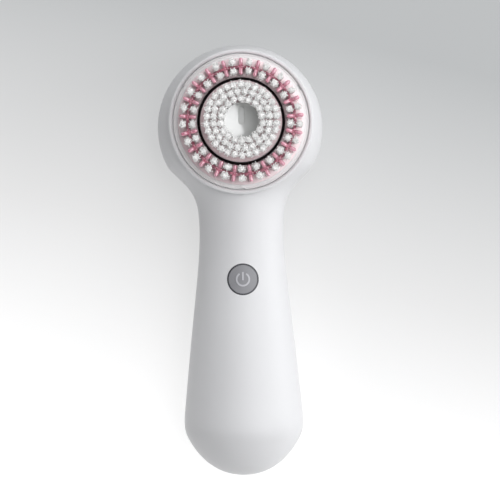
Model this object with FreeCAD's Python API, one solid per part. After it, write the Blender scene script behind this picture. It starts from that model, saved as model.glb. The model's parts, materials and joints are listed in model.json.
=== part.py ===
import FreeCAD, Part
import math
import os

# A rechargeable facial cleansing brush, lying on its back with the bristles up, in millimetres.
# X is across the body, Y runs along the handle towards the head, and Z points out of the bristles.
# The origin is under the middle of the body, on the surface that it lies on.

os.makedirs("parts", exist_ok=True)
V = FreeCAD.Vector
UP = V(0, 0, 1)
ABOVE = 60.0  # higher than anything on the brush

# ---- housing ----
HALF_LENGTH = 79.4  # the housing reaches this far along +Y and -Y
DEPTH_RATIO = 0.86  # depth over width of every cross-section of the housing
PARTING_Z = 18.0  # plane of the widest line, where the two shells meet
HEAD_R = 30.45  # round outline of the head, seen along Z
HEAD_Y = HALF_LENGTH - HEAD_R
HEAD_JOIN_DEG = 27.0  # the neck runs into the head's arc this far below its widest point
NECK_REACH = 3.0  # length of the outline's last control segment, tangent to the head's arc
# Control polygon (x, y) of the right-hand outline of handle and neck, from the bottom pole up.
OUTLINE_POLES = [
    (0.0, -HALF_LENGTH),
    (10.9, -HALF_LENGTH),
    (22.5, -64.9),
    (22.1, -59.0),
    (18.4, -22.1),
    (15.8, -1.1),
    (15.2, 14.4),
    (16.8, 26.3),
]
WALL = 2.0
BACK_FLOOR = 1.8  # thickness of the flats that the brush lies on
SEAL_INSET = WALL + 0.05  # the seal lies inside the joint, against both walls
SEAL_WIDTH = 0.7
SEAL_HEIGHT = 0.8

# ---- brush head seat, about the brush axis ----
BRUSH_Y = 50.2
DECK_Z = 24.5  # underside of the deck that closes the handle under the brush head
DECK_TOP = 26.5
DECK_R = 28.5  # the housing is solid between the deck and the collar inside this radius
COLLAR_R = 26.3
COLLAR_IN = 24.85
COLLAR_LEDGE_IN = 24.65
COLLAR_LEDGE_Z = 34.1
COLLAR_TOP = 35.5
COLLAR_FOOT_IN = 23.4
COLLAR_FOOT_H = 1.2
COLLAR_ROUND = 0.6
SEAT_R = 23.05
SEAT_IN = 20.8
SEAT_TOP = 32.3
LUG_COUNT = 3
LUG_DEG = 8.0
TWIST_DEG = 20.0  # the head turns this far to lock
LUG_IN = 22.2
LUG_GAP = 0.2
LUG_START_DEG = 30.0

# ---- button, about its own axis ----
BUTTON_Y = -6.9
BUTTON_R = 5.2
BUTTON_PROUD = 0.2
BUTTON_BASE_Z = 27.6
BEZEL_IN = 5.3
BEZEL_R = 5.77
BEZEL_FLANGE_R = 7.2
BEZEL_Z = 28.5
BEZEL_FLANGE_TOP = 29.5
BOSS_WALL = 1.0
STEM_GAP = 0.3
MEMBRANE_Z = 26.2
MEMBRANE_T = 0.7
STEM_R = 1.5
STEM_Z = 25.45
SYMBOL_R = 2.3
SYMBOL_LINE = 0.6
SYMBOL_GAP_DEG = 62.0
SYMBOL_BAR = (-0.3, 2.65)  # the bar's ends, from the button's centre
SYMBOL_PROUD = 0.15

# ---- electronics ----
CHASSIS_Z = 19.5
CHASSIS_TOP = 20.8
CHASSIS_INSET = 2.6
CHASSIS_Y = (-69.0, 18.0)
CHASSIS_HALF = 14.5
BOARD_HALF = 9.5
BOARD_Y = (-68.0, 8.0)
BOARD_T = 1.2
BOARD_TOP = CHASSIS_TOP + BOARD_T
CELL_R = 7.0
CELL_L = 50.0
CELL_Y = -66.0  # lower end
CELL_Z = 12.4
CRADLE_IN = 7.4
CRADLE_OUT = 9.2
CRADLE_Z = 6.3
LIP_IN = 5.0
LIP_TOP = 7.3
TAB_HALF = 2.5
TAB_T = 0.3
TAB_Z = 9.9  # lower end
TAB_SLOT_GAP = 0.8
SWITCH_SIDE = 6.0
SWITCH_TOP = 24.6
PLUNGER_R = 1.6
PLUNGER_Z = (24.1, 25.4)
PLUNGER_GAP = 0.1
PLUNGER_WELL_Z = 23.3
COIL_Y = -54.0
COIL_R = 10.5
COIL_IN = 4.5
COIL_Z = (3.8, 4.7)
FERRITE_R = 10.2
FERRITE_T = 0.6
MAGNET_R = 4.2
MAGNET_Z = 2.0
CRADLE_WALL = 1.6
CRADLE_WINDOW = 14.0  # distance from each end of the cell to the opening in the cradle's sides
CRADLE_WINDOW_TOP = 16.0
PILLAR_R = 1.8
PILLAR_Z = 17.2
CHIPS = [  # middle (x, y), side lengths and height of each chip
    (0.0, -21.0, 7.0, 7.0, 1.0),
    (-4.0, -32.5, 5.0, 5.0, 0.9),
    (4.0, -33.5, 4.5, 4.5, 0.8),
]
CAPACITOR_X = (-5.5, 0.0, 5.5)
CAPACITOR_Y = -44.0
CAPACITOR_R = 2.0
CAPACITOR_H = 5.0
CONNECTOR = (7.0, 5.0, 2.6)
CONNECTOR_Y = (3.5, -63.5)
CHASSIS_SCREWS = [(-12.0, -41.0), (12.0, -41.0), (-7.0, 14.0), (7.0, 14.0)]
BOARD_SCREWS = [(-7.5, -64.0), (7.5, -64.0), (-7.5, 5.0), (7.5, 5.0)]
BOSS_R = 2.2
WIRE_R = 0.55
WIRE_BEND = 2.0

# ---- screws: shank radius, head radius, head thickness, height of the tip ----
SCREW_GAP = 0.1
CHASSIS_SCREW = (0.9, 1.8, 1.2, 25.5)
BOARD_SCREW = (0.7, 1.4, 0.9, 17.8)
MOTOR_SCREW = (1.0, 1.8, 1.2, 25.9)

# ---- motor, about the brush axis ----
SHAFT_R = 1.5
SHAFT_Z = (4.9, 31.5)
RUNNING = 0.05  # radial gap of a shaft in its bearing
SLIDING = 0.08  # radial gap of a plain bush
BEARING_R = 4.0
LOWER_BEARING_Z = (4.8, 7.6)
UPPER_BEARING_Z = (20.5, 23.5)
BEARING_WALL = 1.6
STATOR_R = 17.5
STATOR_IN = 14.0
STATOR_Z = (9.0, 17.0)
POLE_FACE_R = 7.4
POLE_W = 8.0
BOBBIN_X = (8.6, 14.0)
BOBBIN_FLANGE = 0.6
BOBBIN_FAR_X = 12.4  # inner side of the outer flange
BOBBIN_SLEEVE = 9.0
BOBBIN_SIDE = 12.6
WINDING_SIDE = 12.2
ROTOR_R = 5.0
MAGNET_OUT = 6.9
MAGNET_ARC_DEG = 120.0
BASE_Z = (4.0, 5.8)
CAP_PLATE_Z = (20.5, 22.3)
SPRING_Z = (19.6, 20.0)
SPRING_HUB_R = 3.2
SPRING_RIM_IN = 12.4
SPRING_ARM_W = 1.2
MOTOR_SCREW_CIRCLE = 15.75
MOTOR_SCREW_COUNT = 3
MOTOR_SCREW_DEG = 30.0
SEAL_POCKET_Z = 24.2
SEAL_POCKET_R = 4.5
SEAL_BOSS_R = 6.0
SEAL_BOSS_Z = 23.7

# ---- drive coupling ----
HUB_Z = (27.0, 31.5)
HUB_FLANGE_R = 4.2
HUB_FLANGE_T = 0.8
HUB_R = 2.9
TOOTH_R = 3.5
TOOTH_W = 1.2
TEETH = 6
TOOTH_GAP = 0.12
SOCKET_TOP = 32.3

# ---- brush head, outer ring ----
PLATE_R = 24.55
PLATE_IN = 15.8
PLATE_Z = (32.5, 34.5)
BEAD_R = 24.25  # a fine round bead along the plate's rim
BEAD_SECTION_R = 0.28
WEB_Z = (30.5, 32.5)
WEB_OUT = 16.5
SKIRT_IN = 23.2
SKIRT_Z = 28.2
LUG_T = 1.4
NOTCH_R = 24.05  # the notches are open to the plate's rim outside this radius
NOTCH_L = 2.2
NOTCH_DEPTH = 1.0
NIB = 0.6  # side of the small square bump inside each notch
NIB_H = 0.4
NOTCH_START_DEG = 30.0
GUARD_COUNT = 21
GUARD_BASE_R = 22.9
GUARD_BASE_T = 1.2
GUARD_TOP = 43.0
FIN_T = 0.8
FIN_RADII = (16.2, 22.3)
FIN_MID = 19.2
CROSS_BAR = 2.86
WALL_TOP = 38.7  # low ring wall that links the crosses
OUTER_ROWS = (17.6, 20.9)
OUTER_TUFT_R = 0.85
OUTER_TUFT_TOP = 44.5
TUFT_HOLE_R = 1.05
GAP_SEAL_IN = 14.95
GAP_SEAL_TOP = 36.3

# ---- brush head, inner brush ----
INNER_R = 14.75
INNER_RIM_IN = 14.4
INNER_RIM_TOP = 37.0
INNER_Z = (34.5, 36.5)
BARREL_R = 5.4
BARREL_Z = 28.2
BUSH_R = 7.5
BUSH_Z = (29.4, 33.6)
BUSH_FLANGE_R = 8.6
BUSH_FLANGE_Z = 32.6
CLIP_Z = (28.5, 29.2)
CLIP_IN = 4.9
CLIP_OUT = 6.6
CLIP_OPEN_DEG = 60.0
TUFT_RINGS = [(7.55, 18), (10.1, 24), (12.6, 30)]
TUFT_R = 0.8
TUFT_TOP = 46.0
CENTRE_R = 6.75
CENTRE_TOP = 38.9
CENTRE_DISH_R = 6.3
CENTRE_DISH = 1.35
SLOT_LENGTH = 6.5
SLOT_WIDTH = 2.3
SLOT_OFFSET = 1.9
SLOT_FLOOR = 37.0
CENTRE_ROUND = 0.5

AXIS = V(0, BRUSH_Y, 0)
BUTTON = V(0, BUTTON_Y, 0)


# ---- helpers ----
def cylinder(radius, z0, z1, at=AXIS):
    return Part.makeCylinder(radius, z1 - z0, V(at.x, at.y, z0))


def tube(outer, inner, z0, z1, at=AXIS):
    return cylinder(outer, z0, z1, at).cut(cylinder(inner, z0, z1, at))


def block(x0, x1, y0, y1, z0, z1):
    return Part.makeBox(x1 - x0, y1 - y0, z1 - z0, V(x0, y0, z0))


def block_at(x, y, width, length, z0, z1):
    """A block centred on (x, y)."""
    return block(x - width / 2, x + width / 2, y - length / 2, y + length / 2, z0, z1)


def rounded_top(shape, top, radius):
    """The shape with every edge of its top face rounded."""
    edges = [edge for edge in shape.Edges if edge.BoundBox.ZMin > top - 0.01]
    return shape.makeFillet(radius, edges)


def turned(shape, degrees, at=AXIS):
    """A copy turned about the vertical axis at a point."""
    copy = shape.copy()
    copy.rotate(at, UP, degrees)
    return copy


def around(shape, count, start=0.0, at=AXIS):
    """Equally spaced copies about the vertical axis at a point."""
    return [turned(shape, start + i * 360.0 / count, at) for i in range(count)]


def sector(outer, inner, z0, z1, centre_deg, width_deg):
    """Part of a tube about the brush axis."""
    piece = Part.makeCylinder(outer, z1 - z0, V(0, BRUSH_Y, z0), UP, width_deg)
    piece = piece.cut(cylinder(inner, z0, z1))
    return turned(piece, centre_deg - width_deg / 2)


def polar(radius, degrees):
    angle = math.radians(degrees)
    return V(radius * math.cos(angle), BRUSH_Y + radius * math.sin(angle), 0)


def screw(x, y, head_z, kind):
    """An upward screw whose head bears on a face at head_z."""
    shank, head, head_t, tip_z = kind
    at = V(x, y, 0)
    return cylinder(shank, head_z, tip_z, at).fuse(cylinder(head, head_z - head_t, head_z, at))


def screw_hole(x, y, kind, z1=ABOVE):
    return cylinder(kind[0] + SCREW_GAP, 0, z1, V(x, y, 0))


def screw_holes(places, kind, z1=ABOVE):
    return [screw_hole(x, y, kind, z1) for x, y in places]


def rounded_path(points, radius):
    """Straight runs through points, joined by tangent arcs of one radius."""
    edges = []
    start = points[0]
    for before, corner, after in zip(points, points[1:], points[2:]):
        a = (before - corner).normalize()
        b = (after - corner).normalize()
        half = a.getAngle(b) / 2
        reach = radius / math.tan(half)
        middle = corner + (a + b).normalize() * (radius / math.sin(half) - radius)
        edges.append(Part.LineSegment(start, corner + a * reach).toShape())
        edges.append(Part.Arc(corner + a * reach, middle, corner + b * reach).toShape())
        start = corner + b * reach
    edges.append(Part.LineSegment(start, points[-1]).toShape())
    return Part.Wire(edges)


def lead_pair(points):
    """Two insulated wires along mirrored rounded paths."""
    section = Part.Wire(Part.makeCircle(WIRE_R, points[0], points[1] - points[0]))
    wire = rounded_path(points, WIRE_BEND).makePipeShell([section], True, False)
    return Part.makeCompound([wire, wire.mirror(V(0, 0, 0), V(1, 0, 0))])


# ---- housing ----
def inset_polygon(points, inset):
    """An open polygon moved to its left by inset, with mitred corners."""
    runs = [(after - before).normalize() for before, after in zip(points, points[1:])]
    normals = [V(-run.y, run.x, 0) for run in runs]
    pairs = zip(points, normals[:1] + normals, normals + normals[-1:])
    return [point + (a + b) * (inset / (1 + a.dot(b))) for point, a, b in pairs]


def outline_edges(inset):
    """Right-hand half outline of the housing, moved inwards by inset."""
    join = math.radians(-HEAD_JOIN_DEG)
    corner = V(HEAD_R * math.cos(join), HEAD_Y + HEAD_R * math.sin(join), 0)
    before = corner - V(-math.sin(join), math.cos(join), 0) * NECK_REACH
    poles = [V(x, y, 0) for x, y in OUTLINE_POLES] + [before, corner]
    curve = Part.BSplineCurve()
    curve.buildFromPoles(inset_polygon(poles, inset), False, 3)
    circle = Part.Circle(V(0, HEAD_Y, 0), UP, HEAD_R - inset)
    return [curve.toShape(), Part.ArcOfCircle(circle, join, math.pi / 2).toShape()]


def half_body(inset, side):
    """Front (side 1) or back (side -1) half of the housing's form, moved inwards by inset."""
    edges = outline_edges(inset)
    ends = [edges[1].valueAt(edges[1].LastParameter), edges[0].valueAt(edges[0].FirstParameter)]
    profile = Part.Face(Part.Wire(edges + [Part.LineSegment(*ends).toShape()]))
    solid = profile.revolve(V(0, 0, 0), V(0, 1, 0), -180 * side)
    squash = FreeCAD.Matrix()
    squash.scale(1, 1, DEPTH_RATIO)
    solid = solid.transformGeometry(squash)
    solid.translate(V(0, 0, PARTING_Z))
    return solid


def half_space(z0, z1):
    return block(-60, 60, -100, 100, z0, z1)


def outline_slab(inset, thickness):
    """A flat plate with the housing's outline, centred on the parting plane."""
    right = outline_edges(inset)
    left = [edge.mirror(V(0, 0, 0), V(1, 0, 0)) for edge in right]
    face = Part.Face(Part.Wire(Part.sortEdges(right + left)[0]))
    slab = face.extrude(V(0, 0, thickness))
    slab.translate(V(0, 0, PARTING_Z - thickness / 2))
    return slab


FRONT = half_body(0.0, 1)


def front_shell():
    shell = FRONT.cut(half_body(WALL, 1).cut(cylinder(DECK_R, DECK_Z, ABOVE)))
    bosses = [cylinder(BOSS_R, CHASSIS_TOP, ABOVE, V(x, y, 0)) for x, y in CHASSIS_SCREWS]
    bosses.append(cylinder(BEZEL_FLANGE_R + BOSS_WALL, MEMBRANE_Z, ABOVE, BUTTON))
    limit = half_body(WALL / 2, 1)
    shell = shell.fuse([boss.common(limit) for boss in bosses])
    shell = shell.fuse(cylinder(SEAL_BOSS_R, SEAL_BOSS_Z, DECK_Z))
    holes = [
        cylinder(COLLAR_R, DECK_TOP, ABOVE),
        cylinder(SEAL_POCKET_R, SEAL_POCKET_Z, ABOVE),
        cylinder(SHAFT_R + 4 * RUNNING, 0, ABOVE),
        cylinder(BEZEL_R, 0, ABOVE, BUTTON),
        cylinder(BEZEL_FLANGE_R, 0, BEZEL_FLANGE_TOP, BUTTON),
    ]
    holes += screw_holes(CHASSIS_SCREWS, CHASSIS_SCREW, CHASSIS_SCREW[3] + SCREW_GAP)
    holes += motor_screw_holes(MOTOR_SCREW[3] + SCREW_GAP)
    return shell.cut(holes)


def back_shell():
    low = half_body(0.0, -1).common(half_space(0, PARTING_Z))
    return low.cut(half_body(WALL, -1).common(half_space(BACK_FLOOR, PARTING_Z)))


def shell_seal():
    outside = outline_slab(SEAL_INSET, SEAL_HEIGHT)
    return outside.cut(outline_slab(SEAL_INSET + SEAL_WIDTH, SEAL_HEIGHT))


def head_collar():
    collar = tube(COLLAR_R, COLLAR_IN, DECK_TOP, COLLAR_TOP)
    collar = rounded_top(collar, COLLAR_TOP, COLLAR_ROUND)
    ledge = tube(COLLAR_R, COLLAR_LEDGE_IN, DECK_TOP, COLLAR_LEDGE_Z)
    foot = tube(COLLAR_R, COLLAR_FOOT_IN, DECK_TOP, DECK_TOP + COLLAR_FOOT_H)
    return collar.fuse([ledge, foot])


def head_seat():
    seat = tube(SEAT_R, SEAT_IN, DECK_TOP, SEAT_TOP)
    width = LUG_DEG + TWIST_DEG + 4
    slot = sector(SEAT_R + 1, LUG_IN - LUG_GAP, DECK_TOP, SEAT_TOP, 0, width)
    return seat.cut(around(slot, LUG_COUNT, LUG_START_DEG - TWIST_DEG / 2))


# ---- button and switch ----
def conforming(radius, z0, proud):
    """A round peg at the button's place whose top follows the housing's surface."""
    top = FRONT.copy()
    top.translate(V(0, 0, proud))
    return cylinder(radius, z0, ABOVE, BUTTON).common(top)


def power_button():
    cap = conforming(BUTTON_R, BUTTON_BASE_Z, BUTTON_PROUD)
    return cap.fuse(cylinder(STEM_R, STEM_Z, BUTTON_BASE_Z, BUTTON)).cut(power_symbol())


def power_symbol():
    """A plain open ring with a bar, standing a little out of the button."""
    z0 = BEZEL_Z
    half = SYMBOL_LINE / 2
    ring = tube(SYMBOL_R + half, SYMBOL_R - half, z0, ABOVE, BUTTON)
    opening = Part.makeCylinder(BUTTON_R, ABOVE, V(0, BUTTON_Y, 0), UP, SYMBOL_GAP_DEG)
    opening.rotate(BUTTON, UP, 90 - SYMBOL_GAP_DEG / 2)
    low, high = (BUTTON_Y + end for end in SYMBOL_BAR)
    mark = ring.cut(opening).fuse(block(-half, half, low, high, z0, ABOVE))
    return mark.common(conforming(BUTTON_R, z0, BUTTON_PROUD + SYMBOL_PROUD))


def button_bezel():
    ring = conforming(BEZEL_R, BEZEL_Z, 0.0).fuse(
        cylinder(BEZEL_FLANGE_R, BEZEL_Z, BEZEL_FLANGE_TOP, BUTTON)
    )
    return ring.cut(cylinder(BEZEL_IN, 0, ABOVE, BUTTON))


def button_membrane():
    top = MEMBRANE_Z + MEMBRANE_T
    return tube(BEZEL_FLANGE_R, STEM_R + STEM_GAP, MEMBRANE_Z, top, BUTTON)


def switch_body():
    case = block_at(0, BUTTON_Y, SWITCH_SIDE, SWITCH_SIDE, BOARD_TOP, SWITCH_TOP)
    return case.cut(cylinder(PLUNGER_R + PLUNGER_GAP, PLUNGER_WELL_Z, SWITCH_TOP, BUTTON))


def switch_plunger():
    return cylinder(PLUNGER_R, *PLUNGER_Z, BUTTON)


# ---- electronics ----
def tab_slot(y):
    width = 2 * (TAB_HALF + TAB_SLOT_GAP)
    return block_at(0, y, width, 2 * TAB_SLOT_GAP, CRADLE_Z, CHASSIS_TOP)


def chassis():
    """A plate that carries the board, with a cradle for the cell hanging under it."""
    plate = block(-CHASSIS_HALF, CHASSIS_HALF, *CHASSIS_Y, CHASSIS_Z, CHASSIS_TOP)
    low, high = CELL_Y - 2, CELL_Y + CELL_L + 2
    cradle = block(-CRADLE_OUT, CRADLE_OUT, low, high, CRADLE_Z, CHASSIS_Z)
    ends = (low + CRADLE_WALL, high - CRADLE_WALL)
    sides = (CELL_Y + CRADLE_WINDOW, CELL_Y + CELL_L - CRADLE_WINDOW)
    openings = [
        block(-CRADLE_IN, CRADLE_IN, *ends, LIP_TOP, CHASSIS_Z),
        block(-LIP_IN, LIP_IN, low, high, CRADLE_Z, LIP_TOP),
        block(-CRADLE_OUT, CRADLE_OUT, *sides, CRADLE_Z, CRADLE_WINDOW_TOP),
    ]
    pillars = [cylinder(PILLAR_R, PILLAR_Z, CHASSIS_Z, V(x, y, 0)) for x, y in BOARD_SCREWS]
    frame = plate.fuse([cradle.cut(openings)] + pillars)
    slots = [tab_slot(y) for y in (CELL_Y, CELL_Y + CELL_L)]
    holes = screw_holes(CHASSIS_SCREWS, CHASSIS_SCREW) + screw_holes(BOARD_SCREWS, BOARD_SCREW)
    frame = frame.cut(holes + slots)
    low, high = (frame.common(half_body(CHASSIS_INSET, side)) for side in (-1, 1))
    return low.fuse(high).removeSplitter()


def control_board():
    board = block(-BOARD_HALF, BOARD_HALF, *BOARD_Y, CHASSIS_TOP, BOARD_TOP)
    return board.cut(screw_holes(BOARD_SCREWS, BOARD_SCREW))


def board_chips():
    chips = [block_at(x, y, w, l, BOARD_TOP, BOARD_TOP + h) for x, y, w, l, h in CHIPS]
    return Part.makeCompound(chips)


def board_capacitors():
    top = BOARD_TOP + CAPACITOR_H
    places = [V(x, CAPACITOR_Y, 0) for x in CAPACITOR_X]
    return Part.makeCompound([cylinder(CAPACITOR_R, BOARD_TOP, top, at) for at in places])


def lead_connectors():
    width, length, height = CONNECTOR
    top = BOARD_TOP + height
    return Part.makeCompound([block_at(0, y, width, length, BOARD_TOP, top) for y in CONNECTOR_Y])


def battery_cell():
    cell = Part.makeCylinder(CELL_R, CELL_L, V(0, CELL_Y, CELL_Z), V(0, 1, 0))
    return cell.makeFillet(0.5, cell.Edges[0:1] + cell.Edges[2:3])


def battery_tabs():
    top_y = CELL_Y + CELL_L
    upper = block(-TAB_HALF, TAB_HALF, top_y, top_y + TAB_T, TAB_Z, CHASSIS_TOP)
    lower = block(-TAB_HALF, TAB_HALF, CELL_Y - TAB_T, CELL_Y, TAB_Z, CHASSIS_TOP)
    return Part.makeCompound([upper, lower])


def charging_coil():
    return tube(COIL_R, COIL_IN, *COIL_Z, V(0, COIL_Y, 0))


def ferrite_disc():
    return cylinder(FERRITE_R, COIL_Z[1], COIL_Z[1] + FERRITE_T, V(0, COIL_Y, 0))


def dock_magnet():
    return cylinder(MAGNET_R, MAGNET_Z, COIL_Z[1], V(0, COIL_Y, 0))


def chassis_screws():
    return Part.makeCompound([screw(x, y, CHASSIS_Z, CHASSIS_SCREW) for x, y in CHASSIS_SCREWS])


def board_screws():
    """Downward screws, made upward and turned over about the board's top."""
    screws = []
    for x, y in BOARD_SCREWS:
        flipped = screw(x, y, BOARD_TOP, BOARD_SCREW[:3] + (2 * BOARD_TOP - BOARD_SCREW[3],))
        screws.append(flipped.mirror(V(0, 0, BOARD_TOP), UP))
    return Part.makeCompound(screws)


def motor_leads():
    """From the connector near the head to the motor's cap."""
    y0 = CONNECTOR_Y[0] + CONNECTOR[1] / 2
    y1 = BRUSH_Y - STATOR_R
    return lead_pair([V(2, y0, 23.2), V(2, 14, 23.2), V(2, 24, 19.0), V(2, y1, 19.0)])


def coil_leads():
    """From the charging coil round the end of the cell to the lower connector."""
    y0 = COIL_Y - COIL_R
    y1 = CONNECTOR_Y[1] - CONNECTOR[1] / 2
    return lead_pair([V(2, y0, 4.6), V(2, -69.6, 5.6), V(2, -71.0, 22.8), V(2, y1, 23.3)])


# ---- motor ----
def motor_screw_places():
    step = 360.0 / MOTOR_SCREW_COUNT
    angles = [MOTOR_SCREW_DEG + step * i for i in range(MOTOR_SCREW_COUNT)]
    return [(at.x, at.y) for at in (polar(MOTOR_SCREW_CIRCLE, angle) for angle in angles)]


def motor_screw_holes(z1=ABOVE):
    return screw_holes(motor_screw_places(), MOTOR_SCREW, z1)


def motor_base():
    base = cylinder(STATOR_R, *BASE_Z).fuse(tube(STATOR_R, STATOR_IN, BASE_Z[1], STATOR_Z[0]))
    base = base.fuse(cylinder(BEARING_R + BEARING_WALL, BASE_Z[0], LOWER_BEARING_Z[1]))
    return base.cut([cylinder(BEARING_R, *LOWER_BEARING_Z)] + motor_screw_holes())


def motor_cap():
    cap = tube(STATOR_R, STATOR_IN, STATOR_Z[1], DECK_Z).fuse(cylinder(STATOR_IN, *CAP_PLATE_Z))
    cap = cap.fuse(cylinder(BEARING_R + BEARING_WALL, CAP_PLATE_Z[0], UPPER_BEARING_Z[1]))
    bore = cylinder(BEARING_R, UPPER_BEARING_Z[0], ABOVE)
    return cap.cut([bore] + motor_screw_holes())


def stator_core():
    ring = tube(STATOR_R, STATOR_IN, *STATOR_Z)
    half = POLE_W / 2
    pole = block(0, STATOR_IN + 1, BRUSH_Y - half, BRUSH_Y + half, *STATOR_Z)
    poles = [pole, turned(pole, 180)]
    return ring.fuse(poles).cut([cylinder(POLE_FACE_R, 0, ABOVE)] + motor_screw_holes())


def square_sleeve(outer, inner, x0, x1):
    """A square tube along X about a stator pole."""
    z = sum(STATOR_Z) / 2
    x, length = (x0 + x1) / 2, x1 - x0
    solid = block_at(x, BRUSH_Y, length, outer, z - outer / 2, z + outer / 2)
    return solid.cut(block_at(x, BRUSH_Y, length, inner, z - inner / 2, z + inner / 2))


def coil_bobbins():
    x0, x1 = BOBBIN_X
    sleeve = square_sleeve(BOBBIN_SLEEVE, POLE_W, x0, x1)
    near = square_sleeve(BOBBIN_SIDE, POLE_W, x0, x0 + BOBBIN_FLANGE)
    far = square_sleeve(BOBBIN_SIDE, POLE_W, BOBBIN_FAR_X, BOBBIN_FAR_X + BOBBIN_FLANGE)
    bobbin = sleeve.fuse([near, far]).common(cylinder(STATOR_IN, 0, ABOVE))
    return Part.makeCompound([bobbin, turned(bobbin, 180)])


def coil_windings():
    x0 = BOBBIN_X[0] + BOBBIN_FLANGE
    coil = square_sleeve(WINDING_SIDE, BOBBIN_SLEEVE, x0, BOBBIN_FAR_X)
    return Part.makeCompound([coil, turned(coil, 180)])


def rotor_core():
    return tube(ROTOR_R, SHAFT_R, *STATOR_Z)


def rotor_magnets():
    magnet = sector(MAGNET_OUT, ROTOR_R, *STATOR_Z, 0, MAGNET_ARC_DEG)
    return Part.makeCompound([magnet, turned(magnet, 180)])


def drive_shaft():
    shaft = cylinder(SHAFT_R, *SHAFT_Z)
    return shaft.makeChamfer(0.3, [shaft.Edges[0], shaft.Edges[2]])


def lower_bearing():
    return tube(BEARING_R, SHAFT_R + RUNNING, *LOWER_BEARING_Z)


def upper_bearing():
    return tube(BEARING_R, SHAFT_R + RUNNING, *UPPER_BEARING_Z)


def centering_spring():
    """A flat steel star between the motor cap and the shaft."""
    z0, z1 = SPRING_Z
    inner = tube(SPRING_HUB_R, SHAFT_R + 2 * RUNNING, z0, z1)
    outer = tube(STATOR_IN, SPRING_RIM_IN, z0, z1)
    middle = (SPRING_HUB_R + SPRING_RIM_IN) / 2
    reach = SPRING_RIM_IN - SPRING_HUB_R + 0.4
    arm = block_at(middle, BRUSH_Y, reach, SPRING_ARM_W, z0, z1)
    return inner.fuse([outer] + around(arm, 3, 90))


def shaft_seal():
    return tube(SEAL_POCKET_R, SHAFT_R + RUNNING, SEAL_POCKET_Z, DECK_TOP)


def motor_screws():
    screws = [screw(x, y, BASE_Z[0], MOTOR_SCREW) for x, y in motor_screw_places()]
    return Part.makeCompound(screws)


def splined(radius, tooth_r, tooth_w, z0, z1):
    """A round core with straight teeth along the brush axis."""
    tooth = block_at(tooth_r / 2, BRUSH_Y, tooth_r, tooth_w, z0, z1)
    return cylinder(radius, z0, z1).fuse(around(tooth, TEETH))


def drive_hub():
    z0, z1 = HUB_Z
    hub = splined(HUB_R, TOOTH_R, TOOTH_W, z0, z1)
    hub = hub.fuse(cylinder(HUB_FLANGE_R, z0, z0 + HUB_FLANGE_T))
    return hub.cut(cylinder(SHAFT_R, z0, z1)).removeSplitter()


# ---- brush head, outer ring ----
def rim_notch():
    top = PLATE_Z[1]
    return block_at(NOTCH_R + 1, BRUSH_Y, 2, NOTCH_L, top - NOTCH_DEPTH, ABOVE)


def rim_nib():
    return block_at(NOTCH_R - NIB, BRUSH_Y, NIB, NIB, PLATE_Z[0], PLATE_Z[1] + NIB_H)


def outer_plate():
    plate = tube(PLATE_R, PLATE_IN, *PLATE_Z)
    web = tube(WEB_OUT, BUSH_R + SLIDING, *WEB_Z)
    skirt = tube(PLATE_R, SKIRT_IN, SKIRT_Z, PLATE_Z[0])
    bead = Part.makeTorus(BEAD_R, BEAD_SECTION_R, V(0, BRUSH_Y, PLATE_Z[1]))
    lug = sector(SKIRT_IN + 0.5, LUG_IN, SKIRT_Z, SKIRT_Z + LUG_T, 0, LUG_DEG)
    nibs = around(rim_nib(), LUG_COUNT, NOTCH_START_DEG)
    plate = plate.fuse([web, skirt, bead] + around(lug, LUG_COUNT, LUG_START_DEG) + nibs)
    return plate.cut(around(rim_notch(), LUG_COUNT, NOTCH_START_DEG)).removeSplitter()


def guard_cross():
    """One plus-shaped finger at angle zero."""
    z0 = PLATE_Z[1]
    half = FIN_T / 2
    radial = block(*FIN_RADII, BRUSH_Y - half, BRUSH_Y + half, z0, GUARD_TOP)
    return radial.fuse(block_at(FIN_MID, BRUSH_Y, FIN_T, CROSS_BAR, z0, GUARD_TOP))


def guard_ring():
    """The soft ring: a floor, a low wall all round and the crosses, with holes for the tufts."""
    floor = tube(GUARD_BASE_R, PLATE_IN, PLATE_Z[1], PLATE_Z[1] + GUARD_BASE_T)
    wall = tube(FIN_MID + FIN_T / 2, FIN_MID - FIN_T / 2, PLATE_Z[1], WALL_TOP)
    ring = floor.fuse([wall] + around(guard_cross(), GUARD_COUNT, 90))
    holes = []
    for radius in OUTER_ROWS:
        hole = cylinder(TUFT_HOLE_R, PLATE_Z[1], ABOVE, polar(radius, 0))
        holes += around(hole, GUARD_COUNT, 90 + 180 / GUARD_COUNT)
    return ring.cut(holes)


def outer_row(radius):
    tuft = cylinder(OUTER_TUFT_R, PLATE_Z[1], OUTER_TUFT_TOP, polar(radius, 0))
    return Part.makeCompound(around(tuft, GUARD_COUNT, 90 + 180 / GUARD_COUNT))


def outer_tufts_inner_row():
    return outer_row(OUTER_ROWS[0])


def outer_tufts_outer_row():
    return outer_row(OUTER_ROWS[1])


def gap_seal():
    return tube(PLATE_IN, GAP_SEAL_IN, PLATE_Z[0], GAP_SEAL_TOP)


# ---- brush head, inner brush ----
def inner_plate():
    rim = tube(INNER_R, INNER_RIM_IN, INNER_Z[0], INNER_RIM_TOP)
    plate = cylinder(INNER_R, *INNER_Z).fuse([rim, cylinder(BARREL_R, BARREL_Z, INNER_Z[0])])
    gap = TOOTH_GAP
    socket = splined(HUB_R + gap, TOOTH_R + gap, TOOTH_W + 2 * gap, BARREL_Z, SOCKET_TOP)
    groove = tube(BARREL_R + 1, CLIP_IN, *CLIP_Z)
    return plate.cut([socket, groove])


def inner_ring(index):
    radius, count = TUFT_RINGS[index]
    tuft = cylinder(TUFT_R, INNER_Z[1], TUFT_TOP, polar(radius, 0))
    return Part.makeCompound(around(tuft, count, 90 + 180 * (index % 2) / count))


def inner_tufts_ring_1():
    return inner_ring(0)


def inner_tufts_ring_2():
    return inner_ring(1)


def inner_tufts_ring_3():
    return inner_ring(2)


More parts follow.
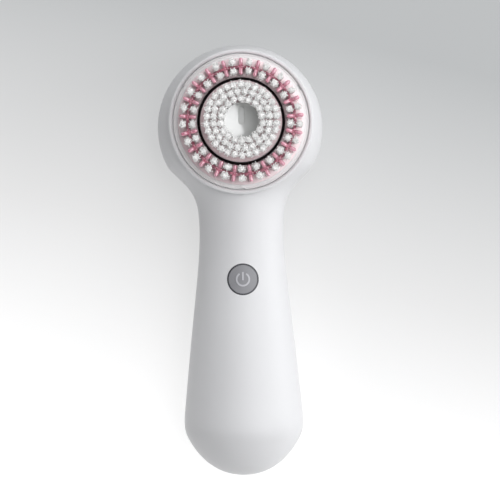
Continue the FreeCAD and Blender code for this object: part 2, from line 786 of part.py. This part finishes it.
def centre_cap():
    """A dished disc with a shallow upright slot above its middle."""
    disc = rounded_top(cylinder(CENTRE_R, INNER_Z[1], CENTRE_TOP), CENTRE_TOP, CENTRE_ROUND)
    ball = (CENTRE_DISH_R ** 2 + CENTRE_DISH ** 2) / (2 * CENTRE_DISH)
    dish = Part.makeSphere(ball, V(0, BRUSH_Y, CENTRE_TOP - CENTRE_DISH + ball))
    half = SLOT_WIDTH / 2
    reach = SLOT_LENGTH / 2 - half
    middle = BRUSH_Y + SLOT_OFFSET
    peg = cylinder(half, SLOT_FLOOR, CENTRE_TOP, V(0, middle, 0))
    ends = [peg.translated(V(0, side * reach, 0)) for side in (-1, 1)]
    slot = block_at(0, middle, SLOT_WIDTH, 2 * reach, SLOT_FLOOR, CENTRE_TOP).fuse(ends)
    return disc.cut([dish, slot])


def head_bush():
    bush = tube(BUSH_R, BARREL_R + SLIDING, *BUSH_Z)
    return bush.fuse(tube(BUSH_FLANGE_R, BARREL_R + SLIDING, BUSH_FLANGE_Z, BUSH_Z[1]))


def retaining_clip():
    ring = tube(CLIP_OUT, CLIP_IN, *CLIP_Z)
    return ring.cut(sector(CLIP_OUT + 1, 0.1, *CLIP_Z, 0, CLIP_OPEN_DEG))


PIECES = [
    front_shell, back_shell, shell_seal, head_collar, head_seat, power_button, power_symbol,
    button_bezel, button_membrane, switch_body, switch_plunger, chassis, control_board,
    board_chips, board_capacitors, lead_connectors, battery_cell, battery_tabs, charging_coil,
    ferrite_disc, dock_magnet, chassis_screws, board_screws, motor_leads, coil_leads,
    motor_base, motor_cap, stator_core, coil_bobbins, coil_windings, rotor_core, rotor_magnets,
    drive_shaft, lower_bearing, upper_bearing, centering_spring, shaft_seal, motor_screws,
    drive_hub, outer_plate, guard_ring, outer_tufts_inner_row, outer_tufts_outer_row, gap_seal,
    inner_plate, inner_tufts_ring_1, inner_tufts_ring_2, inner_tufts_ring_3, centre_cap,
    head_bush, retaining_clip,
]

for piece in PIECES:
    piece().exportStep("parts/" + piece.__name__ + ".step")
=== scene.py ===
"""Looks of the rechargeable facial brush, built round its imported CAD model."""

import bpy
import json
import math
import numpy as np
from mathutils import Euler, Matrix, Vector
from typing import NamedTuple


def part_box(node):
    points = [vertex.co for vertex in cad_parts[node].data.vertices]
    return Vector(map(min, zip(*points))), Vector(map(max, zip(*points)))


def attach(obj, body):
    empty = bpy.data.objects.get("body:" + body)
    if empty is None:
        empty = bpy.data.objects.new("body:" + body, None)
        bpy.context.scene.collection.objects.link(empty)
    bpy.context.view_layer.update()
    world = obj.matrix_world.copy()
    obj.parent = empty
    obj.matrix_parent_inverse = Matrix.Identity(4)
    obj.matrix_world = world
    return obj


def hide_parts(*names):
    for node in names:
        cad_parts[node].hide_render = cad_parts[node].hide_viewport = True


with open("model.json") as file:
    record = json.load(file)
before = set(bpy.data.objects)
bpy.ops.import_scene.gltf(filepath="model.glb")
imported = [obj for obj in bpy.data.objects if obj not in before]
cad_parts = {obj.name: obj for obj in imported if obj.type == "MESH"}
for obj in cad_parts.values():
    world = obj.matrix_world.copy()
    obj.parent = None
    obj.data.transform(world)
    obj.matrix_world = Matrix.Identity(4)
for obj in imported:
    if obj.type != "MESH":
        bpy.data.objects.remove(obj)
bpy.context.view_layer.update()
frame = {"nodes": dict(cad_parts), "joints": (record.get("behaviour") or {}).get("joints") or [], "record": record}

MM = 0.001
TAU = 2 * math.pi


def axis_y(joint_name):
    """Where a joint's upright axis stands along Y, in millimetres."""
    joint = next(joint for joint in frame["joints"] if joint["name"] == joint_name)
    return joint["pos_m"][1] / MM


def levels(node):
    """Heights of a CAD node's bottom and top, in millimetres."""
    low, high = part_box(node)
    return round(low[2] / MM, 2), round(high[2] / MM, 2)


class Tuft(NamedTuple):
    """Sizes of one kind of tuft, in millimetres."""

    root_r: float
    tip_r: float
    floor: float
    tip: float


# ---- soft pieces of the brush head, in millimetres ----
AXIS_Y = axis_y("drive_oscillation")  # the head's upright axis passes through (0, AXIS_Y)
INNER_FLOOR, INNER_TIP = levels("inner_tufts_ring_1")
OUTER_FLOOR, OUTER_TIP = levels("outer_tufts_inner_row")
GUARD_BOTTOM, GUARD_TOP = levels("guard_ring")
INSET = 0.1  # the outer tufts' roots and the crosses' tops lie this far inside their CAD solids
SHADE_FROM = 35.0  # above this height the soft pieces' colour changes towards their tips, with painted shade lower down and painted light near the top

INNER_TUFT = Tuft(0.8, 1.34, INNER_FLOOR, INNER_TIP)
INNER_RINGS = [(7.55, 18), (10.1, 24), (12.6, 30)]  # radius and number of tufts, as in the CAD
OUTER_TUFT = Tuft(0.8, 1.32, OUTER_FLOOR + INSET, OUTER_TIP)
OUTER_ROWS = {"inner_row": 17.6, "outer_row": 20.9}  # radius of each row, as in the CAD
GUARD_COUNT = 21  # crosses, and tufts in each outer row
GUARD_MID_R = sum(OUTER_ROWS.values()) / len(OUTER_ROWS)


# ---- materials ----
class Nodes:
    """A material's node tree, with short ways to add, set and link nodes."""

    def __init__(self, name):
        self.material = bpy.data.materials.new(name)
        self.material.use_nodes = True
        self.tree = self.material.node_tree
        self.shader = self.tree.nodes["Principled BSDF"]
        self.object_space = self.tree.nodes.new("ShaderNodeTexCoord").outputs["Object"]

    def add(self, kind, values=None, **settings):
        """A new node: settings are its properties, and values go to its input sockets."""
        node = self.tree.nodes.new(kind)
        for key, value in settings.items():
            setattr(node, key, value)
        for key, value in (values or {}).items():
            node.inputs[key].default_value = value
        return node

    def link(self, output, target):
        self.tree.links.new(output, target)

    def noise(self, scale, detail=3.0, stretch=(1.0, 1.0, 1.0)):
        """Noise in the object's own space, between 0 and 1."""
        mapping = self.add("ShaderNodeMapping", {"Scale": stretch})
        noise = self.add("ShaderNodeTexNoise", {"Scale": scale, "Detail": detail})
        self.link(self.object_space, mapping.inputs["Vector"])
        self.link(mapping.outputs["Vector"], noise.inputs["Vector"])
        return noise.outputs["Fac"]

    def ramp(self, factor, stops):
        """A colour that follows the factor through (place, colour) stops."""
        node = self.add("ShaderNodeValToRGB")
        elements = node.color_ramp.elements
        while len(elements) < len(stops):
            elements.new(0.5)
        for element, (place, colour) in zip(elements, stops):
            element.position = place
            element.color = (*colour, 1.0)
        self.link(factor, node.inputs["Fac"])
        return node.outputs["Color"]

    def span(self, factor, low, high):
        """The factor, which runs from 0 to 1, stretched to run from low to high."""
        node = self.add("ShaderNodeMapRange", {"To Min": low, "To Max": high})
        self.link(factor, node.inputs["Value"])
        return node.outputs["Result"]

    def bump(self, height, strength, distance=0.1 * MM):
        """Relief on the surface; the distance is its depth at full strength."""
        node = self.add("ShaderNodeBump", {"Strength": strength, "Distance": distance})
        self.link(height, node.inputs["Height"])
        self.link(node.outputs["Normal"], self.shader.inputs["Normal"])

    def sockets(self, **values):
        """Constants on the shader's own sockets, with _ for each space in a socket's name."""
        for key, value in values.items():
            self.shader.inputs[key.replace("_", " ")].default_value = value


def shade(colour, factor):
    """A darker or lighter version of a colour."""
    return tuple(min(1.0, channel * factor) for channel in colour)


def moulded(name, colour, roughness, grain=900.0, bump=0.05, spread=0.03, **sockets):
    """Moulded plastic or rubber: faint clouding, uneven gloss and a fine surface grain."""
    m = Nodes(name)
    clouds = m.noise(60.0)
    stops = [(0.3, shade(colour, 1 - spread)), (0.7, shade(colour, 1 + spread))]
    m.link(m.ramp(clouds, stops), m.shader.inputs["Base Color"])
    m.link(m.span(clouds, roughness * 0.85, roughness * 1.15), m.shader.inputs["Roughness"])
    m.bump(m.noise(grain, 2.0), bump)
    m.sockets(**sockets)
    return m.material


def worked_metal(name, colour, roughness, stretch=(1.0, 1.0, 40.0), **sockets):
    """Drawn or turned metal, with fine streaks along one direction."""
    m = Nodes(name)
    streaks = m.noise(400.0, 4.0, stretch)
    stops = [(0.25, shade(colour, 0.8)), (0.75, shade(colour, 1.1))]
    m.link(m.ramp(streaks, stops), m.shader.inputs["Base Color"])
    m.link(m.span(streaks, roughness * 0.7, roughness * 1.3), m.shader.inputs["Roughness"])
    m.bump(streaks, 0.15)
    m.sockets(Metallic=1.0, **sockets)
    return m.material


def banded(name, light, dark, direction, scale, roughness, metallic):
    """Fine parallel bands: wound wire, or stacked steel sheets."""
    m = Nodes(name)
    wave = m.add("ShaderNodeTexWave", {"Scale": scale, "Distortion": 0.4, "Detail": 1.0},
                 bands_direction=direction)
    m.link(m.object_space, wave.inputs["Vector"])
    bands = wave.outputs["Fac"]
    m.link(m.ramp(bands, [(0.1, dark), (0.7, light)]), m.shader.inputs["Base Color"])
    m.link(m.span(bands, roughness * 1.3, roughness), m.shader.inputs["Roughness"])
    m.bump(bands, 0.6)
    m.sockets(Metallic=metallic)
    return m.material


def circuit_board(name):
    """Green solder mask with copper tracks showing faintly through it."""
    m = Nodes(name)
    cells = m.add("ShaderNodeTexVoronoi", {"Scale": 260.0}, feature="DISTANCE_TO_EDGE",
                  distance="CHEBYCHEV")
    m.link(m.object_space, cells.inputs["Vector"])
    tracks = cells.outputs["Distance"]
    stops = [(0.0, (0.06, 0.30, 0.12)), (0.12, (0.02, 0.16, 0.07)), (1.0, (0.02, 0.14, 0.06))]
    m.link(m.ramp(tracks, stops), m.shader.inputs["Base Color"])
    m.link(m.span(m.noise(500.0), 0.25, 0.4), m.shader.inputs["Roughness"])
    m.bump(tracks, 0.2)
    return m.material


def by_height(name, low_z, high_z, stops, roughness, grain=1500.0, bump=0.1, **sockets):
    """A soft moulding whose colour changes from its root to its tip, which paints shade low down and light near
    the tip.
    """
    m = Nodes(name)
    split = m.add("ShaderNodeSeparateXYZ")
    m.link(m.object_space, split.inputs["Vector"])
    height = m.add("ShaderNodeMapRange", {"From Min": low_z * MM, "From Max": high_z * MM})
    m.link(split.outputs["Z"], height.inputs["Value"])
    mottle = m.span(m.noise(700.0), -0.08, 0.08)
    total = m.add("ShaderNodeMath", operation="ADD")
    m.link(height.outputs["Result"], total.inputs[0])
    m.link(mottle, total.inputs[1])
    m.link(m.ramp(total.outputs["Value"], stops), m.shader.inputs["Base Color"])
    m.link(m.span(m.noise(300.0), roughness * 0.85, roughness * 1.15),
           m.shader.inputs["Roughness"])
    m.bump(m.noise(grain, 2.0), bump)
    m.sockets(**sockets)
    return m.material


def outer_materials():
    """The materials of the shells, the brush head and the button, by slot name."""
    # rose, deepest just below the crests as painted shade and lighter at the crests as a painted highlight
    rose_with_painted_light = [(0.0, (0.60, 0.30, 0.36)), (0.5, (0.48, 0.11, 0.19)), (0.8, (0.50, 0.10, 0.18)),
            (1.0, (0.74, 0.30, 0.40))]
    # nylon white, darker towards the roots as painted shade deep inside the tufts
    nylon = [(0.0, (0.75, 0.70, 0.68)), (0.6, (0.93, 0.92, 0.91)), (1.0, (0.98, 0.98, 0.97))]
    return {
        "housing_white": moulded("housing_white", (0.72, 0.72, 0.73), 0.45, spread=0.008,
                                 bump=0.02, Specular_IOR_Level=0.35),
        "head_white": moulded("head_white", (0.82, 0.82, 0.82), 0.35, spread=0.01, bump=0.04),
        "inner_white": moulded("inner_white", (0.56, 0.57, 0.56), 0.4, spread=0.015, bump=0.03,
                               Coat_Weight=1.0, Coat_Roughness=0.18, Coat_IOR=2.8),
        # near black, so the seal in the gap between the two brush plates shows that gap's deep shade: painted
        # shade
        "seal_black": moulded("seal_black", (0.008, 0.004, 0.005), 0.5, spread=0.2,
                              Specular_IOR_Level=0.15),
        "button_grey": moulded("button_grey", (0.27, 0.27, 0.285), 0.4, spread=0.03, bump=0.15),
        # symbol_light: lighter than the button as a painted highlight on the raised symbol
        "symbol_light": moulded("symbol_light", (0.50, 0.50, 0.53), 0.3),
        # bezel_dark: a dark ring in the gap round the button, painted shade of that gap
        "bezel_dark": moulded("bezel_dark", (0.07, 0.07, 0.08), 0.4),
        # guard_pink: over the crosses' own rose, painted shade low on them and a painted highlight on their crests
        "guard_pink": by_height("guard_pink", SHADE_FROM, GUARD_TOP, rose_with_painted_light, 0.25,
                                Subsurface_Weight=0.25, Subsurface_Radius=(0.002, 0.0008, 0.001),
                                Coat_Weight=1.0, Coat_Roughness=0.08, Coat_IOR=2.8),
        # plate_pink: the guard floor's own pale pink, and on the inner plate a pink tint painted as the reflection
        # of the pink crosses
        "plate_pink": moulded("plate_pink", (0.94, 0.79, 0.81), 0.35, spread=0.02),
        # tuft_white: painted shade towards the roots, and a faint glow of its own that stands in for light
        # scattered through the nylon
        "tuft_white": by_height("tuft_white", SHADE_FROM, INNER_TIP, nylon, 0.5, bump=0.05,
                                Subsurface_Weight=0.6, Subsurface_Radius=(0.003, 0.003, 0.003),
                                Emission_Strength=0.048),
    }


def inner_materials():
    """The materials of the clear silicone parts and of all that the shells hold, by slot name."""
    return {
        "silicone_clear": moulded("silicone_clear", (0.7, 0.7, 0.7), 0.5,
                                  Transmission_Weight=0.3),
        "chassis_grey": moulded("chassis_grey", (0.33, 0.34, 0.36), 0.45, bump=0.12),
        "board_green": circuit_board("board_green"),
        "chip_black": moulded("chip_black", (0.02, 0.02, 0.022), 0.5, bump=0.3, spread=0.2),
        "capacitor_metal": worked_metal("capacitor_metal", (0.72, 0.72, 0.74), 0.3),
        "cell_wrap": moulded("cell_wrap", (0.05, 0.16, 0.36), 0.3, spread=0.1, bump=0.1),
        "nickel": worked_metal("nickel", (0.66, 0.62, 0.55), 0.3, (40.0, 1.0, 1.0)),
        "copper": banded("copper", (0.75, 0.35, 0.14), (0.28, 0.10, 0.04), "Y", 900.0, 0.3, 1.0),
        "ferrite": moulded("ferrite", (0.045, 0.045, 0.05), 0.6, bump=0.4, spread=0.3),
        "magnet_metal": worked_metal("magnet_metal", (0.60, 0.60, 0.62), 0.25),
        "lamination": banded("lamination", (0.42, 0.43, 0.46), (0.10, 0.10, 0.11), "Z", 600.0,
                             0.4, 0.9),
        "steel": worked_metal("steel", (0.62, 0.62, 0.64), 0.28),
        "bronze": worked_metal("bronze", (0.60, 0.40, 0.20), 0.4, (1.0, 1.0, 1.0)),
        "bobbin_nylon": moulded("bobbin_nylon", (0.62, 0.58, 0.48), 0.45, bump=0.15),
        "lead_red": moulded("lead_red", (0.45, 0.02, 0.02), 0.4, bump=0.1),
        "lead_black": moulded("lead_black", (0.02, 0.02, 0.02), 0.4, spread=0.2, bump=0.1),
        "acetal": moulded("acetal", (0.68, 0.68, 0.66), 0.4, bump=0.1),
    }


MATERIALS = {**outer_materials(), **inner_materials()}


def dress_frame():
    """Every CAD node takes the material of its slot in the record."""
    for part in frame["record"]["subparts"]:
        mesh = frame["nodes"][part["node"]].data
        mesh.materials.clear()
        mesh.materials.append(MATERIALS[part["material_slot"]])


# ---- making pieces ----
def new_piece(name, vertices, faces, body, slot_name, smooth=True):
    """A mesh in the row's frame, given in millimetres, that rides on a CAD body."""
    mesh = bpy.data.meshes.new(name)
    mesh.from_pydata([tuple(v) for v in np.asarray(vertices) * MM], [], faces)
    mesh.materials.append(MATERIALS[slot_name])
    if smooth:
        mesh.shade_smooth()
    piece = bpy.data.objects.new(name, mesh)
    bpy.context.scene.collection.objects.link(piece)
    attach(piece, body)
    return piece


def circle(count, start=0.0):
    """(x, y) of evenly spaced points on a circle of radius 1, from an angle in radians."""
    angles = start + TAU * np.arange(count) / count
    return np.stack([np.cos(angles), np.sin(angles)], axis=1)


def ring_places(radius, count, start_deg):
    """(x, y) of each tuft's root on a ring about the brush axis, in millimetres."""
    return radius * circle(count, math.radians(start_deg)) + (0.0, AXIS_Y)


def about_axis(points, degrees):
    """Points given as (x, y, z) about the brush axis, turned round it."""
    angle = math.radians(degrees)
    x, y, z = points.T
    return np.stack([x * math.cos(angle) - y * math.sin(angle),
                     x * math.sin(angle) + y * math.cos(angle) + AXIS_Y, z], axis=1)


def grid_faces(rows, columns, closed):
    """Faces of a tube of sections: round each section, and along the sections."""
    faces = []
    for i in range(rows if closed else rows - 1):
        for j in range(columns):
            a, b = i * columns + j, i * columns + (j + 1) % columns
            c, d = (i + 1) % rows * columns + j, (i + 1) % rows * columns + (j + 1) % columns
            faces.append((a, b, d, c))
    if not closed:
        faces.append(tuple(reversed(range(columns))))
        faces.append(tuple(range((rows - 1) * columns, rows * columns)))
    return faces


def solid(block):
    """Vertices and faces of a capped tube, from an array of sections of points."""
    return block.reshape(-1, 3), grid_faces(*block.shape[:2], closed=False)


def joined(parts):
    """Vertices and faces of several (vertices, faces) pairs as one."""
    vertices, faces, start = [], [], 0
    for block, block_faces in parts:
        vertices.append(block)
        faces += [tuple(start + i for i in face) for face in block_faces]
        start += len(block)
    return np.concatenate(vertices), faces


# ---- tufts: loose filaments round a dense middle ----
FILAMENTS = 84  # in one tuft
FILAMENT_R = 0.135
FILAMENT_SIDES = 5
FILAMENT_PROFILE = [(1.0, 0.0), (1.0, 0.6), (1.0, 0.985), (0.55, 1.0)]  # width, height
CORE_SIDES = 14
CORE_PROFILE = [(0.9, 0.0), (0.85, 0.6), (0.8, 0.86), (0.5, 0.91)]  # width, height
GOLDEN_TURN = 0.618034  # of a full turn from one filament to the next, which spreads them evenly
BEND = 1.6  # filaments fan out slowly at first and faster towards their tips
LEAN = 0.1  # sideways lean of a whole tuft at its tip
SQUASH = 0.1  # how far a tuft's outline differs from round
FRAY = 0.21  # sideways scatter of the filaments' tips, as a share of the tuft's radius
MOST_FRAY = 0.36  # no tip strays further than this to one side
TIP_GAP = 0.05  # below the CAD solid's top
CROWN = 0.45  # how much lower the outermost filaments end
UNEVEN = 0.9  # most that a filament ends below its place in the crown
CORE_OUTLINE = (-0.22, 0.1)  # the core's uneven outline, as a share of its radius
CORE_WAVE = 0.1  # uneven height of the core's top edge


def tuft_filaments(centre, rng, kind, lean):
    """Sections of the filaments of one tuft, which leave a tight root and fan out a little."""
    share = np.sqrt((np.arange(FILAMENTS) + 0.5) / FILAMENTS)
    turn = np.arange(FILAMENTS) * TAU * GOLDEN_TURN + rng.uniform(0, TAU)
    direction = np.stack([np.cos(turn), np.sin(turn)], axis=1) * share[:, None]
    fray = rng.normal(0.0, FRAY, (FILAMENTS, 2)).clip(-MOST_FRAY, MOST_FRAY)
    squash = 1.0 + rng.normal(0.0, SQUASH, 2)
    root = centre + direction * kind.root_r
    end = centre + (direction * squash + fray) * kind.tip_r + lean
    top = kind.tip - TIP_GAP - CROWN * share ** 4 - rng.uniform(0.0, UNEVEN, FILAMENTS)
    outline = circle(FILAMENT_SIDES, math.pi / FILAMENT_SIDES) * FILAMENT_R
    sections = np.empty((FILAMENTS, len(FILAMENT_PROFILE), FILAMENT_SIDES, 3))
    for i, (width, level) in enumerate(FILAMENT_PROFILE):
        middle = root + (end - root) * level ** BEND
        sections[:, i, :, :2] = middle[:, None, :] + outline[None] * width
        sections[:, i, :, 2] = (kind.floor + (top - kind.floor) * level)[:, None]
    return sections


def tuft_core(centre, rng, kind, lean):
    """The closely packed middle of a tuft, below its tips, with an uneven outline."""
    outline = circle(CORE_SIDES) * (1.0 + rng.uniform(*CORE_OUTLINE, (CORE_SIDES, 1)))
    sections = np.empty((len(CORE_PROFILE), CORE_SIDES, 3))
    for i, (width, level) in enumerate(CORE_PROFILE):
        radius = width * (kind.root_r + (kind.tip_r - kind.root_r) * level)
        wave = rng.uniform(-CORE_WAVE, CORE_WAVE, CORE_SIDES)
        sections[i, :, :2] = centre + lean * level ** BEND + outline * radius
        sections[i, :, 2] = kind.floor + (kind.tip - kind.floor) * level + wave * level
    return sections


def make_tufts(name, body, node, places, rng, kind):
    """One piece for a ring of tufts, in the place of its plain CAD solids."""
    blocks = []
    for place in places:
        lean = rng.normal(0.0, LEAN, 2)
        blocks += list(tuft_filaments(place, rng, kind, lean))
        blocks.append(tuft_core(place, rng, kind, lean))
    vertices, faces = joined([solid(block) for block in blocks])
    piece = new_piece(name, vertices, faces, body, "tuft_white", smooth=False)
    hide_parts(node)


def make_all_tufts():
    """Three inner rings, every other one turned by half a step, and two outer rows."""
    rng = np.random.default_rng(7)
    for i, (radius, count) in enumerate(INNER_RINGS):
        places = ring_places(radius, count, 90 + 180 * (i % 2) / count)
        make_tufts(f"inner_filaments_{i + 1}", "inner_brush", f"inner_tufts_ring_{i + 1}", places,
                   rng, INNER_TUFT)
    for row, radius in OUTER_ROWS.items():
        places = ring_places(radius, GUARD_COUNT, 90 + 180 / GUARD_COUNT)
        make_tufts(f"outer_filaments_{row}", "outer_ring", f"outer_tufts_{row}", places,
                   rng, OUTER_TUFT)


# ---- soft guard ring: crosses, the web that links them, and its floor ----
FLOOR_IN, FLOOR_OUT = 15.85, 22.9  # radii of the guard's floor, as in the CAD
FLOOR_TOP = 35.7
FLOOR_BEVEL = 0.25
FLOOR_STEPS = 180
CROSS_FOOT = FLOOR_TOP - INSET  # the crosses stand a little inside the floor
FIN_LENGTH = 6.1
FIN_HALF_WIDTH = 0.7
FIN_TOP = GUARD_TOP - INSET
FIN_DIP = 1.6  # the crest dips where the bar crosses it
DIP_REACH = 0.6
END_DROOP = 0.5  # how far the crest drops at the rounded ends, in half widths
BAR_LENGTH = 2.9
BAR_HALF_WIDTH = 0.55
BAR_TOP = 41.2
WEB_HALF_WIDTH = 0.7
WEB_TOP = 39.0
WEB_RISE = 0.5  # the web is this much higher at a cross, and lower midway between two
WEB_STEPS = 12  # along the web for each cross
FLARE = 1.25  # how much wider a wall is at its foot
CREST = np.linspace(math.pi, 0.0, 9)  # angles over a wall's rounded crest
FIN_ANGLES = np.linspace(0.05, math.pi - 0.05, 27)  # sections lie closer towards a fin's ends
NARROWEST = math.sqrt(0.02)  # width of a fin's end sections, as a share of its full width


def wall_section(half_width, top, foot):
    """(across, height) of an upright wall with a rounded crest, from foot to foot."""
    crest = [(half_width * math.cos(a), top - half_width * (1 - math.sin(a))) for a in CREST]
    return [(-half_width * FLARE, foot)] + crest + [(half_width * FLARE, foot)]


def fin(length, half_width, top, dip=0.0):
    """(along, across, height) of a fin with rounded ends, whose crest may dip in its middle."""
    reach = length / 2
    sections = []
    for angle in FIN_ANGLES:
        along = reach * math.cos(angle)
        past = max(0.0, (abs(along) - (reach - half_width)) / half_width)
        narrowing = max(NARROWEST, math.sqrt(1.0 - past ** 2))
        sag = dip * math.exp(-(along / DIP_REACH) ** 2)
        sag += END_DROOP * half_width * (1.0 - narrowing)
        outline = wall_section(half_width * narrowing, top - sag, CROSS_FOOT)
        sections.append([(along, across, height) for across, height in outline])
    return np.array(sections)


def crosswise(block):
    """A fin turned by a quarter, from along the radius to across it."""
    return block[:, :, [1, 0, 2]] * (-1.0, 1.0, 1.0)


def ring_of(outline_at, steps):
    """A closed ring: outline_at(degrees) gives (radius, height) points at each step."""
    rows = []
    for i in range(steps):
        degrees = 360.0 * i / steps
        flat = np.array([(radius, 0.0, height) for radius, height in outline_at(degrees)])
        rows.append(about_axis(flat, degrees))
    return np.concatenate(rows), grid_faces(steps, len(rows[0]), closed=True)


def web_outline(degrees):
    """The low wall that links the crosses; it rises a little into each of them."""
    top = WEB_TOP + WEB_RISE * math.cos(math.radians((degrees - 90.0) * GUARD_COUNT))
    wall = wall_section(WEB_HALF_WIDTH, top, SHADE_FROM)
    return [(GUARD_MID_R + across, height) for across, height in wall]


def floor_outline(_degrees):
    """The floor's section, the same all round, with its upper edges bevelled."""
    shoulder = FLOOR_TOP - FLOOR_BEVEL
    return [(FLOOR_IN, GUARD_BOTTOM), (FLOOR_IN, shoulder), (FLOOR_IN + FLOOR_BEVEL, FLOOR_TOP),
            (FLOOR_OUT - FLOOR_BEVEL, FLOOR_TOP), (FLOOR_OUT, shoulder), (FLOOR_OUT, GUARD_BOTTOM)]


def make_guard():
    """Crosses, web and floor in the place of the plain CAD ring."""
    radial = fin(FIN_LENGTH, FIN_HALF_WIDTH, FIN_TOP, FIN_DIP)
    bar = crosswise(fin(BAR_LENGTH, BAR_HALF_WIDTH, BAR_TOP))
    parts = [ring_of(web_outline, GUARD_COUNT * WEB_STEPS)]
    for i in range(GUARD_COUNT):
        for block in (radial, bar):
            points, faces = solid(block)
            placed = about_axis(points + (GUARD_MID_R, 0.0, 0.0), 90.0 + 360.0 * i / GUARD_COUNT)
            parts.append((placed, faces))
    crosses = new_piece("guard_crosses", *joined(parts), "outer_ring", "guard_pink")
    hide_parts("guard_ring")
    new_piece("guard_floor", *ring_of(floor_outline, FLOOR_STEPS), "outer_ring", "plate_pink")


# ---- stage, light and camera ----
STAGE_GLOW = 0.87  # a floor that mostly glows shows little shadow
STAGE_REFLECTS = 0.35  # how much light the floor returns, as a share of its tone
STAGE_TONES = [(0.0, (1.0, 1.0, 1.0)), (0.5, (0.68, 0.68, 0.68)), (1.0, (0.42, 0.43, 0.435))]
TONES_FROM, TONES_TO = -0.09, 0.095  # metres along Y, from beyond the foot to beyond the head
TONES_SLANT = 0.28  # metres that the tones shift along Y for each metre along X
SKY_COLOUR = (0.93, 0.96, 1.0, 1.0)
SKY_STRENGTH = 0.02
LAMP_COLOUR = (0.985, 0.99, 1.0)
LAMPS = [  # name, place, size, power
    ("low_right", (0.95, 0.1, 0.22), (0.35, 1.0), 5.7),
    ("high_right", (0.42, 0.12, 0.88), (1.6, 0.75), 7.4),
    ("overhead", (0.0, 0.1, 1.0), (0.8, 0.8), 2.4),
    ("left", (-0.8, 0.1, 0.25), (0.5, 0.8), 0.8),
    ("beyond_head", (0.1, 0.9, 0.4), (0.9, 0.4), 2.3),
    ("beyond_foot", (0.1, -0.9, 0.4), (0.9, 0.4), 1.3),
]
WITHOUT_GLINT = "overhead"  # this lamp would show as a white spot in every glossy piece


def floor_material():
    """A pale floor that grows darker from beyond the foot to beyond the head."""
    m = Nodes("floor_white")
    split = m.add("ShaderNodeSeparateXYZ")
    m.link(m.object_space, split.inputs["Vector"])
    slant = m.add("ShaderNodeMath", {1: TONES_SLANT}, operation="MULTIPLY_ADD")
    m.link(split.outputs["X"], slant.inputs[0])
    m.link(split.outputs["Y"], slant.inputs[2])
    along = m.add("ShaderNodeMapRange", {"From Min": TONES_FROM, "From Max": TONES_TO})
    m.link(slant.outputs["Value"], along.inputs["Value"])
    dim_tones = [(place, shade(tone, STAGE_REFLECTS)) for place, tone in STAGE_TONES]
    m.link(m.ramp(along.outputs["Result"], dim_tones), m.shader.inputs["Base Color"])
    m.link(m.ramp(along.outputs["Result"], STAGE_TONES), m.shader.inputs["Emission Color"])
    m.sockets(Roughness=0.9, Specular_IOR_Level=0.0, Emission_Strength=STAGE_GLOW)
    return m.material


def make_floor():
    """A wide square just under the object."""
    mesh = bpy.data.meshes.new("floor")
    half = 3.0
    corners = [(-half, -half, 0), (half, -half, 0), (half, half, 0), (-half, half, 0)]
    mesh.from_pydata(corners, [], [(0, 1, 2, 3)])
    mesh.materials.append(floor_material())
    floor = bpy.data.objects.new("floor", mesh)
    floor.location.z = -0.2 * MM
    bpy.context.scene.collection.objects.link(floor)


def make_sky():
    """A faint even light from all round."""
    world = bpy.data.worlds.new("studio")
    world.use_nodes = True
    background = world.node_tree.nodes["Background"]
    background.inputs["Color"].default_value = SKY_COLOUR
    background.inputs["Strength"].default_value = SKY_STRENGTH
    bpy.context.scene.world = world


def make_lamps():
    """Large soft boxes round the object, all aimed at its middle."""
    target = Vector((0.0, 0.0, 0.02))
    for name, place, size, power in LAMPS:
        light = bpy.data.lights.new(name, "AREA")
        light.shape = "RECTANGLE"
        light.size, light.size_y = size
        light.energy = power
        light.color = LAMP_COLOUR
        lamp = bpy.data.objects.new(name, light)
        lamp.location = place
        lamp.rotation_euler = (target - Vector(place)).to_track_quat("-Z", "Y").to_euler()
        lamp.visible_camera = False
        lamp.visible_glossy = name != WITHOUT_GLINT
        bpy.context.scene.collection.objects.link(lamp)


def make_camera():
    """A long lens almost straight above the object, leaning and rolled by about a degree."""
    distance = 0.7
    target = Vector((3.07, 3.7, 18.0)) * MM
    lean = math.radians(1.5)
    roll = math.radians(-0.74)
    camera_data = bpy.data.cameras.new("camera")
    camera_data.sensor_width = 36.0
    camera_data.lens = 136.1
    camera = bpy.data.objects.new("camera", camera_data)
    turn = Euler((0.0, -lean, 0.0)).to_matrix() @ Matrix.Rotation(roll, 3, "Z")
    camera.matrix_world = Matrix.Translation(target) @ turn.to_4x4() @ Matrix.Translation(
        (0.0, 0.0, distance))
    bpy.context.scene.collection.objects.link(camera)
    bpy.context.scene.camera = camera


dress_frame()
make_all_tufts()
make_guard()
make_floor()
make_sky()
make_lamps()
make_camera()
bpy.context.scene.view_settings.view_transform = "Standard"
